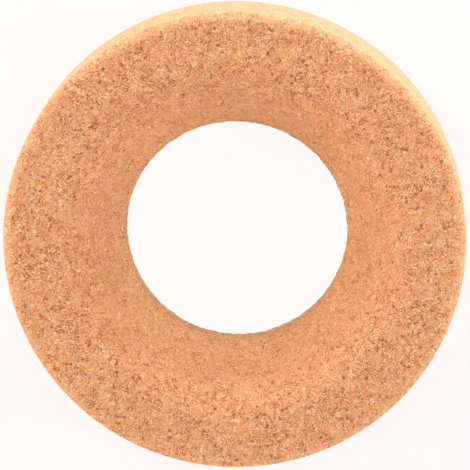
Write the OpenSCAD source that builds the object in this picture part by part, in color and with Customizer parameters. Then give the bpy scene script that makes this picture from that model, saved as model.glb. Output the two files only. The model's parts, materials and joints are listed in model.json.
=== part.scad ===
// Cork ring: a turned stand that holds a round-bottomed flask upright.
// One solid of pressed cork granules, lying flat. Millimetres, +Z up.
// The origin is the centre of the underside.

/* [Ring] */
// Outside diameter of the ring
ring_d = 140; // [136:1:200]
// Height of the ring, from the underside to the top face
ring_h = 30; // [26:1:36]

/* [Hole] */
// Diameter of the straight hole at the bottom
hole_d = 68; // [60:1:72]
// Height at which the straight hole opens into the seat
hole_h = 12; // [8:0.5:14]

/* [Seat] */
// Diameter at which the sloping seat would meet the top face in a sharp corner
seat_d = 104; // [98:1:108]

/* [Edges] */
// Radius of both outer rims, top and bottom
rim_r = 3.1; // [0.5:0.1:4]
// Radius of the wide soft turn from the top face down into the seat
mouth_r = 10; // [1:0.5:12]
// Radius of the turn from the seat into the straight hole
throat_r = 6; // [1:0.5:8]
// Radius of the sanded edge round the hole, at the underside
arris_r = 0.8; // [0.2:0.1:2]

/* [Hidden] */

outer = ring_d / 2;
hole = hole_d / 2;
seat = seat_d / 2;
seat_slope = atan2(ring_h - hole_h, seat - hole);
past_face = 1;
// The circles reach this far past the edges that they round, to cross them cleanly.
bite = 0.0002;
$fn = 180;

// Waste outside the arc of radius r that rounds one corner of the section.
// The corner's two edges run away from it at the angles first and second.
module corner_waste(corner, first, second, r) {
    half = (second - first) / 2;
    along_edge = r / tan(half);
    to_centre = r / sin(half);
    translate(corner)
        rotate((first + second) / 2)
            difference() {
                polygon([
                    [-past_face, 0],
                    [along_edge * cos(half), -along_edge * sin(half)],
                    [to_centre, 0],
                    [along_edge * cos(half), along_edge * sin(half)],
                ]);
                translate([to_centre, 0])
                    circle(r + bite);
            }
}

// Half section with sharp corners: underside, outer wall, top face, seat, hole.
module sharp_section() {
    polygon([[hole, 0], [outer, 0], [outer, ring_h], [seat, ring_h], [hole, hole_h]]);
}

// Half section of the finished ring, every corner rounded to its own radius.
module ring_section() {
    difference() {
        sharp_section();
        corner_waste([outer, 0], 90, 180, rim_r);
        corner_waste([outer, ring_h], 180, 270, rim_r);
        corner_waste([seat, ring_h], -180 + seat_slope, 0, mouth_r);
        corner_waste([hole, hole_h], -90, seat_slope, throat_r);
        corner_waste([hole, 0], 0, 90, arris_r);
    }
}

module cork_ring() {
    color([0.86, 0.60, 0.42])
        rotate_extrude()
            ring_section();
}

cork_ring();
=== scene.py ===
import json
import math
import bpy
import numpy as np
from mathutils import Matrix, Vector


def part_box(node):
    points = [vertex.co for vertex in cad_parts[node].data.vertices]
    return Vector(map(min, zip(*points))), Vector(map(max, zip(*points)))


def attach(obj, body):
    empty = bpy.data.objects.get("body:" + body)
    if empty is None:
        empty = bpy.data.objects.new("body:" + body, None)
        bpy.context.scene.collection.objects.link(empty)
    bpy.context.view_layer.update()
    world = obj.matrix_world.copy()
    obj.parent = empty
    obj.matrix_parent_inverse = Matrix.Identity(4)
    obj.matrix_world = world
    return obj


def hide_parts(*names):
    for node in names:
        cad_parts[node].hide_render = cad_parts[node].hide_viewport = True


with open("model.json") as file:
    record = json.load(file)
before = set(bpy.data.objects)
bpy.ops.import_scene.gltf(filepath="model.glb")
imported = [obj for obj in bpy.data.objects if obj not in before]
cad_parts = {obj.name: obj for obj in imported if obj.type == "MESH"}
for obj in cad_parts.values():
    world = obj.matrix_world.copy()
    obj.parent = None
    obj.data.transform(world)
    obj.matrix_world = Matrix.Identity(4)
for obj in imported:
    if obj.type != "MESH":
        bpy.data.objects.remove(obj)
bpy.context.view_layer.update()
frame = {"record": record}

mm = 0.001
noiseSpan = 0.25    # how far a noise field strays either side of its middle

# Small helpers for node trees.

def addNode(tree, kind, inputs=None, **settings):
    made = tree.nodes.new(kind)
    for name, value in settings.items():
        setattr(made, name, value)
    for name, value in (inputs or {}).items():
        feed(tree, made.inputs[name], value)
    return made


def feed(tree, socket, value):
    if isinstance(value, bpy.types.NodeSocket):
        tree.links.new(value, socket)
    else:
        socket.default_value = value


def calc(tree, operation, *values, clamp=False):
    made = addNode(tree, "ShaderNodeMath", operation=operation, use_clamp=clamp)
    for place, value in enumerate(values):
        feed(tree, made.inputs[place], value)
    return made.outputs[0]


def move(tree, operation, *values):
    # arithmetic on vectors; a length or a dot product comes out as a number
    made = addNode(tree, "ShaderNodeVectorMath", operation=operation)
    for place, value in enumerate(values):
        feed(tree, made.inputs[place], value)
    return made.outputs["Value" if operation in ("LENGTH", "DOT_PRODUCT") else "Vector"]


def scaled(tree, vector, factor):
    return addNode(tree, "ShaderNodeVectorMath", {0: vector, "Scale": factor}, operation="SCALE").outputs[0]


def parts(tree, vector):
    return addNode(tree, "ShaderNodeSeparateXYZ", {0: vector}).outputs


def centred(tree, value):
    return calc(tree, "SUBTRACT", value, 0.5)


def fade(tree, value, start, end, low=0.0, high=1.0):
    # smooth step from low to high as value goes from start to end
    made = addNode(tree, "ShaderNodeMapRange", interpolation_type="SMOOTHSTEP")
    for place, number in enumerate((value, start, end, low, high)):
        feed(tree, made.inputs[place], number)
    return made.outputs[0]


def ramp(tree, value, stops):
    made = addNode(tree, "ShaderNodeValToRGB", {"Fac": value})
    while len(made.color_ramp.elements) < len(stops):
        made.color_ramp.elements.new(0.5)
    for stop, (place, colour) in zip(made.color_ramp.elements, stops):
        stop.position = place
        stop.color = (*colour, 1)
    return made.outputs["Color"]


def blend(tree, share, first, second, kind="RGBA", how="MIX"):
    made = addNode(tree, "ShaderNodeMix", data_type=kind, blend_type=how)
    spot = {"FLOAT": (2, 3), "RGBA": (6, 7), "VECTOR": (4, 5)}[kind]
    feed(tree, made.inputs[0], share)
    feed(tree, made.inputs[spot[0]], first)
    feed(tree, made.inputs[spot[1]], second)
    return made.outputs[{"FLOAT": 0, "RGBA": 2, "VECTOR": 1}[kind]]


def noise(tree, place, waves):
    # waves: how many to a unit of place, how many layers, how rough
    inputs = dict(zip(("Scale", "Detail", "Roughness"), waves))
    return addNode(tree, "ShaderNodeTexNoise", {"Vector": place, **inputs}).outputs


def cells(tree, place, width, feature="F1"):
    inputs = {"Vector": place, "Scale": 1 / width}
    return addNode(tree, "ShaderNodeTexVoronoi", inputs, feature=feature).outputs


def seenRays(tree):
    # 1 for the rays that show a surface, 0 for those that only carry its light
    rays = addNode(tree, "ShaderNodeLightPath").outputs
    seen = calc(tree, "ADD", rays["Is Camera Ray"], rays["Is Glossy Ray"])
    return calc(tree, "ADD", seen, rays["Is Transmission Ray"], clamp=True)


def newMaterial(name):
    made = bpy.data.materials.new(name)
    made.use_nodes = True
    made.node_tree.nodes.clear()
    return made, made.node_tree


# The ring: its section, and the mesh turned from it. Sizes in mm.

ringShape = {
    "node": "cork_ring",
    "seatEdge": 52.0,       # radius where the seat's slope would meet the top face
    "holeHeight": 12.0,     # straight hole below this
    "rimRound": 3.1,
    "mouthRound": 10.0,     # from the top face into the seat
    "throatRound": 6.0,     # from the seat into the hole
    "arrisRound": 0.8,      # the hole's lower edge
    "turns": 600,           # steps round the axis
    "fineStep": 0.50,       # along the hole, the seat and the top face
    "wallStep": 1.2,
    "underStep": 2.2,
    "arcStep": 0.45,
    "arcLeast": 4,          # fewest steps along an arc
    "mapGap": 0.006,        # margin round each strip of the map, as a share of its sides
}


def findSizes(node):
    # what the frame says of the ring, in mm
    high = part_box(node)[1]
    bore = next(mount for mount in frame["record"]["mounts"] if mount["kind"] == "bore")
    return {"outer": high.x / mm, "top": high.z / mm, "hole": bore["dims"]["r_mm"]}


ringSize = findSizes(ringShape["node"])


def roundCorner(last, corner, following, radius, shape):
    # points along the arc that rounds off a corner
    toLast, toNext = last - corner, following - corner
    toLast, toNext = toLast / np.linalg.norm(toLast), toNext / np.linalg.norm(toNext)
    half = math.acos(float(toLast @ toNext)) / 2
    middle = toLast + toNext
    centre = corner + middle / np.linalg.norm(middle) * radius / math.sin(half)
    start = corner + toLast * radius / math.tan(half) - centre
    end = corner + toNext * radius / math.tan(half) - centre
    first, final = math.atan2(start[1], start[0]), math.atan2(end[1], end[0])
    sweep = (final - first + math.pi) % (2 * math.pi) - math.pi
    steps = max(shape["arcLeast"], round(abs(sweep) * radius / shape["arcStep"]))
    along = first + sweep * np.linspace(0, 1, steps + 1)
    return centre + radius * np.stack([np.cos(along), np.sin(along)], 1)


def ringSection(size, shape):
    outer, top, hole = size["outer"], size["top"], size["hole"]
    fine = shape["fineStep"]
    # corner, its rounding, and the step along the straight that follows it
    corners = [
        ((hole, 0.0), shape["arrisRound"], fine),
        ((hole, shape["holeHeight"]), shape["throatRound"], fine),
        ((shape["seatEdge"], top), shape["mouthRound"], fine),
        ((outer, top), shape["rimRound"], shape["wallStep"]),
        ((outer, 0.0), shape["rimRound"], shape["underStep"]),
    ]
    count = len(corners)
    spots = [np.array(corner[0]) for corner in corners]
    arcs = []
    for i in range(count):
        arcs.append(roundCorner(spots[i - 1], spots[i], spots[(i + 1) % count], corners[i][1], shape))
    points = []
    for i in range(count):
        points.append(arcs[i])
        start, end = arcs[i][-1], arcs[(i + 1) % count][0]
        steps = max(1, round(float(np.linalg.norm(end - start)) / corners[i][2]))
        points.append(start + (end - start) * np.linspace(0, 1, steps + 1)[1:-1, None])
    return np.concatenate(points)


def addBakeMap(mesh, section, row, turn, shape):
    # the ring cut into two half turns, each laid out as one strip
    gap, halfTurn = shape["mapGap"], shape["turns"] // 2
    steps = np.linalg.norm(np.diff(section, axis=0, append=section[:1]), axis=1)
    reached = np.concatenate([[0], np.cumsum(steps)])
    strip, start = np.divmod(turn, halfTurn)
    across = [gap + (start + add) / halfTurn * (1 - 2 * gap) for add in (0, 0, 1, 1)]
    along = [(gap + reached[row + add] / reached[-1] * (1 - 2 * gap) + strip) / 2 for add in (0, 1, 1, 0)]
    layer = mesh.uv_layers.new(name="OFBake")
    layer.data.foreach_set("uv", np.stack([np.stack(across, 1), np.stack(along, 1)], -1).ravel())


def ringMesh(size, shape):
    section = ringSection(size, shape)
    rows, turns = len(section), shape["turns"]
    angle = np.arange(turns) * 2 * math.pi / turns
    radius, height = section[:, 0:1] * mm, section[:, 1:2] * mm
    places = np.stack([radius * np.cos(angle), radius * np.sin(angle), height + 0 * angle], -1)
    row, turn = np.divmod(np.arange(rows * turns), turns)
    rowNext, turnNext = (row + 1) % rows, (turn + 1) % turns
    around = ((row, turn), (rowNext, turn), (rowNext, turnNext), (row, turnNext))
    quads = np.stack([r * turns + t for r, t in around], 1)
    mesh = bpy.data.meshes.new("ring")
    mesh.from_pydata(places.reshape(-1, 3).tolist(), [], quads.tolist())
    mesh.validate()
    addBakeMap(mesh, section, row, turn, shape)
    mesh.shade_smooth()
    print("ring mesh:", rows, "rows by", turns, "turns,", 2 * rows * turns, "triangles")
    return mesh


# Cork as one solid mass: the same granules show on every face that cuts through it.

corkLook = {
    "cutFrom": (-200.0, 0.0, 100.0),    # where in a block of cork the ring is cut, mm
    "chip": 1.75,           # width of a granule, mm
    "crumb": 0.80,          # width of the small bits pressed between the granules, mm
    "broken": 0.50,         # share of the granules that are broken down into such bits
    "wander": {"wide": 0.275, "tight": 0.06875},    # how far the outlines stray from straight, mm
    # noise fields: waves to a mm, layers, roughness
    "waves": {
        "wide": (0.8, 2.0, 0.6),
        "tight": (2.6, 1.0, 0.5),
        "opening": (0.9, 1.0, 0.5),
        "lines": (2.6, 1.0, 0.6),
        "ragged": (1.7, 2.0, 0.6),
        "fine": (3.4, 2.0, 0.7),
        "broad": (0.10, 2.0, 0.5),
        "patch": (0.25, 2.0, 0.6),
    },
    # gaps: how far the widest ones reach either side of the outline, mm, and the values of
    # the opening field at which they are shut and full, so that only some stretches are open
    "gaps": {"chip": (0.24, 0.42, 0.62), "crumb": (0.16, 0.56, 0.36)},
    "leastGap": 0.02,       # reach of a shut one, mm
    "gapSide": (1.0, 0.2),  # shares of that reach at which a gap begins and is fully deep
    "crumbGapDepth": 0.8,   # against 1 for a gap between granules
    "lineDraw": -0.72,      # growth lines: 0 is not drawn out at all, -1 without end
    # flecks of bark: width in mm, share among bits of that width, how ragged they are,
    # and how far from its middle a fleck begins and is full, as shares of its width
    "bark": 1.15,
    "barkShare": 0.075,
    "barkRagged": 1.5,
    "barkEdge": (0.52, 0.34),
    # tone, 0 for dark and 1 for pale: its mean, what each field adds, and what each zone adds
    "meanTone": 0.560,
    "tone": {"chip": 0.20, "crumb": 0.23, "lines": 1.62, "fine": 1.05, "broad": 0.12, "gap": -0.15},
    # zone lifts are painted light in part: the low zone's lifts the shaded foot of the seat and the hole,
    # the rims' and the wall's are partly smoother finish and partly painted highlight
    "toneIn": {"low": 0.05, "sanded": 0.08, "wall": 0.03},
    # contrast: its plain value, what each zone adds, and how granules and patches differ
    "contrast": 0.97,
    # the rims' lower contrast is partly their smoother finish and partly painted highlight
    "contrastIn": {"seat": -0.27, "hole": 0.20, "sanded": -0.12},
    "vigour": {"granule": 0.55, "patch": 1.2},
    "reshuffle": 7.0,       # makes a granule's vigour number from its tint number
    # tones and their colours
    "shades": [
        (0.00, (0.272, 0.070, 0.020)),
        (0.22, (0.535, 0.170, 0.050)),
        (0.50, (0.778, 0.340, 0.151)),
        (0.78, (0.905, 0.486, 0.249)),
        (1.00, (0.980, 0.690, 0.408)),
    ],
    # tints that some bits have: the colour's gain, which random number of the bit
    # gives it, where it begins and where it is full
    "tints": [
        ((1.021, 0.974, 1.047), 1, 0.50, 1.0),
        ((0.979, 1.026, 0.957), 1, 0.50, 0.0),
        ((1.050, 0.970, 0.915), 2, 0.50, 1.0),
        ((0.950, 1.025, 1.085), 2, 0.50, 0.0),
    ],
    # the hole's gain is painted light: it lightens and pales the shaded hole wall
    "gainIn": {"seat": (0.978, 0.993, 0.974), "hole": (0.950, 1.060, 1.080)},
    # the wall's pale colour is partly its smoother finish and partly painted highlight, standing in for the
    # strong light along the wall
    "wall": (0.640, 0.610, 0.400),
    "wallShare": 0.25,
    "greyBark": (0.360, 0.150, 0.082),
    # how much of a fleck shows: by the contrast, everywhere, and on the wall
    "barkShows": {"contrast": 1.6, "everywhere": -0.75, "wall": -0.25},
    # fine relief: what each field adds, how strong it is and how deep, in mm
    "relief": {"fine": 0.35, "lines": 0.35, "gap": -0.35, "bark": -0.35},
    "reliefStrength": 0.6,
    "reliefDepth": 0.14,
    "roughness": 0.85,
    "specular": 0.25,
}


def barkFlecks(tree, place, drawn, look):
    # flecks drawn out along the growth lines: where they are, and how grey each one is
    fleck = cells(tree, place, look["bark"])
    random = parts(tree, fleck["Color"])
    ragged = centred(tree, noise(tree, drawn, look["waves"]["ragged"])["Fac"])
    near = calc(tree, "MULTIPLY_ADD", ragged, look["barkRagged"], fleck["Distance"])
    chosen = calc(tree, "LESS_THAN", random[0], look["barkShare"])
    return calc(tree, "MULTIPLY", chosen, fade(tree, near, *look["barkEdge"])), random[1]


def openGap(tree, place, opening, name, look):
    # gaps along the outlines of the granules or of the crumbs
    width = look[name]
    widest, shut, full = look["gaps"][name]
    edge = cells(tree, place, width, "DISTANCE_TO_EDGE")["Distance"]
    edge = calc(tree, "MULTIPLY", edge, width)
    across = calc(tree, "MULTIPLY", fade(tree, opening, shut, full), widest)
    across = calc(tree, "ADD", across, look["leastGap"])
    return fade(tree, calc(tree, "DIVIDE", edge, across), *look["gapSide"])


def corkGrain(tree, place, look):
    # place in mm; gives the granule fields that both colour and relief are made from
    waves = look["waves"]
    place = move(tree, "ADD", place, look["cutFrom"])
    bent = place
    for name, reach in look["wander"].items():
        stray = move(tree, "SUBTRACT", noise(tree, place, waves[name])["Color"], (0.5, 0.5, 0.5))
        bent = move(tree, "MULTIPLY_ADD", stray, (reach / noiseSpan,) * 3, bent)

    chip = cells(tree, bent, look["chip"])["Color"]
    crumb = cells(tree, bent, look["crumb"])["Color"]
    random = parts(tree, chip)
    # some granules are whole, the rest are broken down into crumbs
    whole = calc(tree, "GREATER_THAN", random[2], look["broken"])
    grain = {"chip": random[0], "crumb": parts(tree, crumb)[0]}
    grain["tint"] = blend(tree, whole, crumb, chip, "VECTOR")
    grain["broken"] = calc(tree, "SUBTRACT", 1.0, whole)
    grain["vigour"] = calc(tree, "FRACT", calc(tree, "MULTIPLY", random[1], look["reshuffle"]))

    opening = noise(tree, place, waves["opening"])["Fac"]
    chipGap = openGap(tree, bent, opening, "chip", look)
    crumbGap = openGap(tree, bent, opening, "crumb", look)
    crumbGap = calc(tree, "MULTIPLY", crumbGap, grain["broken"])
    crumbGap = calc(tree, "MULTIPLY", crumbGap, look["crumbGapDepth"])
    grain["gap"] = calc(tree, "MAXIMUM", chipGap, crumbGap)

    # growth lines, which run their own way in each granule: noise drawn out along that way
    way = move(tree, "NORMALIZE", move(tree, "SUBTRACT", chip, (0.5, 0.5, 0.5)))
    along = scaled(tree, way, move(tree, "DOT_PRODUCT", place, way))
    drawn = move(tree, "MULTIPLY_ADD", along, (look["lineDraw"],) * 3, place)
    grain["lines"] = noise(tree, drawn, waves["lines"])["Fac"]
    grain["bark"], grain["barkGrey"] = barkFlecks(tree, bent, drawn, look)
    return grain


# Zones of the ring's finish and of its painted light: where each one begins and where it is full, in mm.

ringZones = {
    "inFromWall": {
        "wall": (0.50, 0.03),
        "top": (0.10, 1.20),        # all of the upper side
        # smoother finish and partly painted highlight: the lighter, calmer tone stands in for the strong
        # light on the rims
        "sanded": (3.80, 1.50),     # the rims and the wall
        "lowRim": (3.50, 2.00),
    },
    "outFromHole": {
        "hole": (1.60, 0.40),
        # the tone is lifted here as painted light, against the shade deep in the funnel
        "low": (9.0, 2.0),          # the seat's foot and the hole
        "inner": (10.0, 2.0),       # those, and as much of the underside
        "seat": (19.0, 7.0),
    },
    "upFromBench": {
        "above": (0.4, 2.0),
        "clear": (0.0, 1.0),
        "lowSide": (6.0, 3.0),
    },
}


def findZones(tree, place, size, edges):
    # share of each zone, from 0 to 1, at a place in mm
    x, y, height = parts(tree, place)
    radius = move(tree, "LENGTH", addNode(tree, "ShaderNodeCombineXYZ", {0: x, 1: y}).outputs[0])
    zones = {}
    for name, (start, full) in edges["inFromWall"].items():
        zones[name] = fade(tree, radius, size["outer"] - start, size["outer"] - full)
    for name, (start, full) in edges["outFromHole"].items():
        zones[name] = fade(tree, radius, size["hole"] + start, size["hole"] + full)
    for name, (start, full) in edges["upFromBench"].items():
        zones[name] = fade(tree, height, start, full)
    # the lower rim gets the wall's pale colour, partly its finish and partly painted highlight, and three
    # zones keep clear of the underside
    lowRim = calc(tree, "MULTIPLY", zones["lowSide"], zones["lowRim"])
    zones["wall"] = calc(tree, "MAXIMUM", zones["wall"], lowRim)
    for name in ("low", "seat", "top"):
        zones[name] = calc(tree, "MULTIPLY", zones[name], zones["above"])
    return zones


def corkTone(tree, place, zones, grain, look):
    # tone, and the contrast it was made with
    contrast = look["contrast"]
    for name, change in look["contrastIn"].items():
        contrast = calc(tree, "MULTIPLY_ADD", zones[name], change, contrast)
    # some granules and some patches are plainer than others
    patch = noise(tree, place, look["waves"]["patch"])["Fac"]
    vigour = calc(tree, "MULTIPLY_ADD", centred(tree, grain["vigour"]), look["vigour"]["granule"], 1.0)
    vigour = calc(tree, "MULTIPLY_ADD", centred(tree, patch), look["vigour"]["patch"], vigour)

    share = look["tone"]
    crumbs = calc(tree, "MULTIPLY", grain["broken"], share["crumb"])
    tone = calc(tree, "MULTIPLY", centred(tree, grain["chip"]), share["chip"])
    tone = calc(tree, "MULTIPLY_ADD", centred(tree, grain["crumb"]), crumbs, tone)
    for name in ("lines", "fine", "broad"):
        tone = calc(tree, "MULTIPLY_ADD", centred(tree, grain[name]), share[name], tone)
    tone = calc(tree, "MULTIPLY_ADD", grain["gap"], share["gap"], tone)
    tone = calc(tree, "MULTIPLY", tone, vigour)
    tone = calc(tree, "MULTIPLY_ADD", tone, contrast, look["meanTone"])
    # painted light: the zones lift the tone in the shaded seat's foot and hole, and partly as painted
    # highlight on the rims and the wall
    for name, change in look["toneIn"].items():
        tone = calc(tree, "MULTIPLY_ADD", zones[name], change, tone)
    return tone, contrast


def corkColour(tree, tone, contrast, zones, grain, look):
    colour = ramp(tree, tone, look["shades"])
    # each bit has a slight tint of its own
    tint = parts(tree, grain["tint"])
    for gain, number, start, full in look["tints"]:
        share = calc(tree, "MULTIPLY", fade(tree, tint[number], start, full), contrast)
        colour = blend(tree, share, colour, (*gain, 1), how="MULTIPLY")
    # the hole's gain is painted light in its shade
    for name, gain in look["gainIn"].items():
        colour = blend(tree, zones[name], colour, (*gain, 1), how="MULTIPLY")
    # the wall's pale colour: partly its finish, partly painted highlight
    share = calc(tree, "MULTIPLY", zones["wall"], look["wallShare"])
    colour = blend(tree, share, colour, (*look["wall"], 1))
    # each fleck of bark is somewhere between brown and grey
    brown = look["shades"][0][1]
    bark = blend(tree, grain["barkGrey"], (*brown, 1), (*look["greyBark"], 1))
    shows = look["barkShows"]
    share = calc(tree, "MULTIPLY_ADD", contrast, shows["contrast"], shows["everywhere"])
    share = calc(tree, "MULTIPLY_ADD", zones["wall"], shows["wall"], share)
    return blend(tree, calc(tree, "MULTIPLY", grain["bark"], share), colour, bark)


def corkBump(tree, contrast, grain, look):
    # fine relief: growth lines, open gaps, worn bark
    height = 0.0
    for name, share in look["relief"].items():
        height = calc(tree, "MULTIPLY_ADD", grain[name], share, height)
    height = calc(tree, "MULTIPLY", height, contrast)
    inputs = {"Strength": look["reliefStrength"], "Distance": look["reliefDepth"] * mm, "Height": height}
    return addNode(tree, "ShaderNodeBump", inputs).outputs[0]


def corkMaterial(look):
    made, tree = newMaterial("pressed_cork")
    place = scaled(tree, addNode(tree, "ShaderNodeTexCoord").outputs["Object"], 1 / mm)
    zones = findZones(tree, place, ringSize, ringZones)
    grain = corkGrain(tree, place, look)
    for name in ("fine", "broad"):
        grain[name] = noise(tree, place, look["waves"][name])["Fac"]
    tone, contrast = corkTone(tree, place, zones, grain, look)
    colour = corkColour(tree, tone, contrast, zones, grain, look)
    bump = corkBump(tree, contrast, grain, look)
    inputs = {"Base Color": colour, "Roughness": look["roughness"], "Normal": bump}
    shader = addNode(tree, "ShaderNodeBsdfPrincipled", inputs)
    shader.inputs["Specular IOR Level"].default_value = look["specular"]
    addNode(tree, "ShaderNodeOutputMaterial", {"Surface": shader.outputs[0]})
    print("pressed cork mixed with", len(tree.nodes), "nodes")
    return made


# The coarse relief, pressed into the mesh itself. Sizes in mm.

reliefLook = {
    "granule": 0.07,        # how far some granules lie below others
    "gap": 0.12,
    "bark": 0.20,
    "rest": 0.35,           # share of these left on the wall and the underside
    "swell": 0.27,          # unevenness of the hole and the seat's foot, in or out
    "swellWaves": (1 / 2.6, 3.0, 0.65),
    "nick": 0.38,           # depth of the few bites out of the hole's edges
    "nickWaves": (0.32, 2.0, 0.5),
    "nickEdge": (0.60, 0.67),
}


def reliefDepth(tree, look):
    # how far each point of the ring goes in, in mm, or out where it is below 0
    place = scaled(tree, addNode(tree, "GeometryNodeInputPosition").outputs[0], 1 / mm)
    zones = findZones(tree, place, ringSize, ringZones)
    grain = corkGrain(tree, place, corkLook)
    depth = calc(tree, "MULTIPLY", grain["chip"], look["granule"])
    for name in ("gap", "bark"):
        depth = calc(tree, "MULTIPLY_ADD", grain[name], look[name], depth)
    depth = calc(tree, "MULTIPLY", depth, blend(tree, zones["top"], look["rest"], 1.0, "FLOAT"))
    swell = centred(tree, noise(tree, place, look["swellWaves"])["Fac"])
    swell = calc(tree, "MULTIPLY", swell, calc(tree, "MULTIPLY", zones["inner"], zones["clear"]))
    depth = calc(tree, "MULTIPLY_ADD", swell, look["swell"] / noiseSpan, depth)
    nick = fade(tree, noise(tree, place, look["nickWaves"])["Fac"], *look["nickEdge"])
    return calc(tree, "MULTIPLY_ADD", calc(tree, "MULTIPLY", nick, zones["hole"]), look["nick"], depth)


def roughen(piece, look):
    # presses the pattern of the material into the mesh
    tree = bpy.data.node_groups.new("granules", "GeometryNodeTree")
    for way in ("INPUT", "OUTPUT"):
        tree.interface.new_socket("Geometry", in_out=way, socket_type="NodeSocketGeometry")
    start, end = addNode(tree, "NodeGroupInput"), addNode(tree, "NodeGroupOutput")
    inwards = calc(tree, "MULTIPLY", reliefDepth(tree, look), -mm)
    shift = scaled(tree, addNode(tree, "GeometryNodeInputNormal").outputs[0], inwards)
    moved = addNode(tree, "GeometryNodeSetPosition", {"Geometry": start.outputs[0], "Offset": shift})
    tree.links.new(moved.outputs[0], end.inputs[0])
    modifier = piece.modifiers.new("granules", "NODES")
    modifier.node_group = tree
    shaped = piece.evaluated_get(bpy.context.evaluated_depsgraph_get())
    shaped = bpy.data.meshes.new_from_object(shaped)
    piece.modifiers.clear()
    piece.data = shaped
    print("granules pressed into", len(shaped.vertices), "points")


def makeRing():
    piece = bpy.data.objects.new("cork_ring_body", ringMesh(ringSize, ringShape))
    bpy.context.scene.collection.objects.link(piece)
    piece.data.materials.append(corkMaterial(corkLook))
    roughen(piece, reliefLook)
    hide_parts(ringShape["node"])
    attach(piece, "root")


# The pale bench. Sizes in metres.

benchLook = {
    "size": 8.0,
    "tint": (0.86, 0.84, 0.83),         # what it throws back on the ring
    "white": (1.0, 0.978, 0.970),       # how it looks itself
    # how much of its look is its own white, in the hole, beside the ring and far off;
    # the rest takes light and shadow
    "ownInHole": 0.95,
    "ownBeside": 0.80,
    "ownFar": 1.0,
    "besideEdge": (0.04, 0.07),         # from the middle of the ring
    "farEdge": (0.12, 0.60),
}


def benchMaterial(look):
    made, tree = newMaterial("pale_bench")
    seen = seenRays(tree)
    colour = blend(tree, seen, (*look["tint"], 1), (*look["white"], 1))
    plain = addNode(tree, "ShaderNodeBsdfDiffuse", {"Color": colour})
    glow = addNode(tree, "ShaderNodeEmission", {"Color": (*look["white"], 1), "Strength": 1.0})
    # less of its own white beside the ring, where the shadow falls; far off it meets the backdrop
    away = move(tree, "LENGTH", addNode(tree, "ShaderNodeTexCoord").outputs["Object"])
    own = fade(tree, away, *look["besideEdge"], look["ownInHole"], look["ownBeside"])
    own = fade(tree, away, *look["farEdge"], own, look["ownFar"])
    own = calc(tree, "MULTIPLY", seen, own)
    mixed = addNode(tree, "ShaderNodeMixShader", {0: own, 1: plain.outputs[0], 2: glow.outputs[0]})
    addNode(tree, "ShaderNodeOutputMaterial", {"Surface": mixed.outputs[0]})
    return made


def makeBench(look):
    half = look["size"] / 2
    corners = [(-half, -half, 0), (half, -half, 0), (half, half, 0), (-half, half, 0)]
    mesh = bpy.data.meshes.new("bench")
    mesh.from_pydata(corners, [], [(0, 1, 2, 3)])
    mesh.materials.append(benchMaterial(look))
    bench = bpy.data.objects.new("bench", mesh)
    bpy.context.scene.collection.objects.link(bench)
    print("bench laid,", look["size"], "m across")


# The soft lamps and the pale backdrop.

studio = {
    "worldLight": 0.43,     # from all round
    "white": (1.0, 0.976, 0.967),
    # degrees round from +X, degrees up, metres away, width and height in metres, watts, colour
    "lamps": {
        "left": (180, 15, 1.2, (0.5, 0.3), 4.05, (1.02, 1.00, 0.94)),
        "right": (0, 30, 1.2, (0.5, 0.5), 4.65, (0.98, 1.00, 1.07)),
        "front": (270, 15, 1.2, (0.5, 0.3), 5.1, (1.00, 1.00, 1.03)),
        "highLeft": (135, 30, 1.2, (0.5, 0.5), 5.5, (1.00, 1.00, 0.95)),
        "highRight": (45, 30, 1.2, (0.5, 0.5), 2.65, (0.97, 1.00, 1.04)),
        "lowLeft": (135, 6, 1.2, (0.6, 0.14), 3.2, (0.93, 1.00, 1.00)),
        "lowRight": (45, 6, 1.2, (0.6, 0.14), 1.65, (0.94, 1.00, 1.05)),
        "skimRight": (45, 1.5, 1.2, (0.6, 0.05), 5.8, (0.97, 1.00, 1.02)),
    },
}


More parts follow.
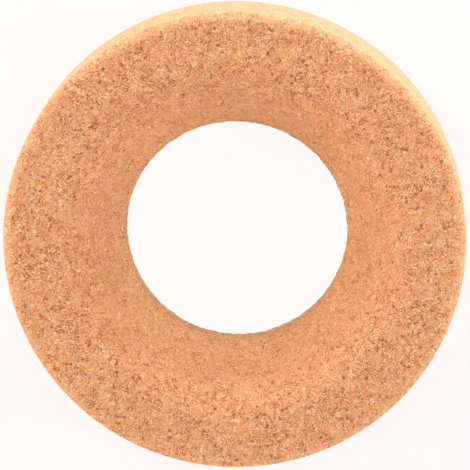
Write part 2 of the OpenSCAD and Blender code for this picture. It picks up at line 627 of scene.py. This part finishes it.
def makeBackdrop(look):
    world = bpy.data.worlds.new("studio")
    bpy.context.scene.world = world
    world.use_nodes = True
    tree = world.node_tree
    tree.nodes.clear()
    light = addNode(tree, "ShaderNodeBackground", {"Color": (1, 1, 1, 1), "Strength": look["worldLight"]})
    white = addNode(tree, "ShaderNodeBackground", {"Color": (*look["white"], 1), "Strength": 1.0})
    inputs = {0: seenRays(tree), 1: light.outputs[0], 2: white.outputs[0]}
    mixed = addNode(tree, "ShaderNodeMixShader", inputs)
    addNode(tree, "ShaderNodeOutputWorld", {"Surface": mixed.outputs[0]})


def makeLamps(look):
    for name, (turn, rise, away, size, watts, colour) in look["lamps"].items():
        lamp = bpy.data.lights.new(name, "AREA")
        lamp.shape = "RECTANGLE"
        lamp.size, lamp.size_y = size
        lamp.energy = watts
        lamp.color = colour
        holder = bpy.data.objects.new(name, lamp)
        turn, rise = math.radians(turn), math.radians(rise)
        level = math.cos(rise)
        towards = Vector((math.cos(turn) * level, math.sin(turn) * level, math.sin(rise)))
        holder.location = towards * away
        holder.rotation_euler = towards.to_track_quat("Z", "Y").to_euler()
        holder.visible_camera = False
        bpy.context.scene.collection.objects.link(holder)
    print(len(look["lamps"]), "lamps set round the bench")


cameraLook = {
    "tilt": 10.47,          # degrees from straight above, towards +Y
    "swing": 2.14,          # degrees towards +X
    "distance": 1176.0,     # mm from the view's centre
    "across": 0.33,         # that centre, right of and above the middle of the top face, mm
    "above": 2.46,
    "lens": 299.1,          # mm, with a picture 36 mm wide behind it
}


def makeCamera(look):
    tilt, swing = math.radians(look["tilt"]), math.radians(look["swing"])
    level = math.cos(swing)
    back = Vector((math.sin(swing), math.sin(tilt) * level, math.cos(tilt) * level))
    up = (Vector((0, 1, 0)) - back * back.y).normalized()
    right = up.cross(back)
    aim = Vector((0, 0, ringSize["top"])) + right * look["across"] + up * look["above"]
    lens = bpy.data.cameras.new("camera")
    lens.lens = look["lens"]
    holder = bpy.data.objects.new("camera", lens)
    turn = Matrix((right, up, back)).transposed().to_4x4()
    holder.matrix_world = Matrix.Translation((aim + back * look["distance"]) * mm) @ turn
    bpy.context.scene.collection.objects.link(holder)
    bpy.context.scene.camera = holder
    print("camera set", look["distance"], "mm away")


makeCamera(cameraLook)
makeBench(benchLook)
makeBackdrop(studio)
makeLamps(studio)
makeRing()
bpy.context.scene.view_settings.view_transform = "Standard"
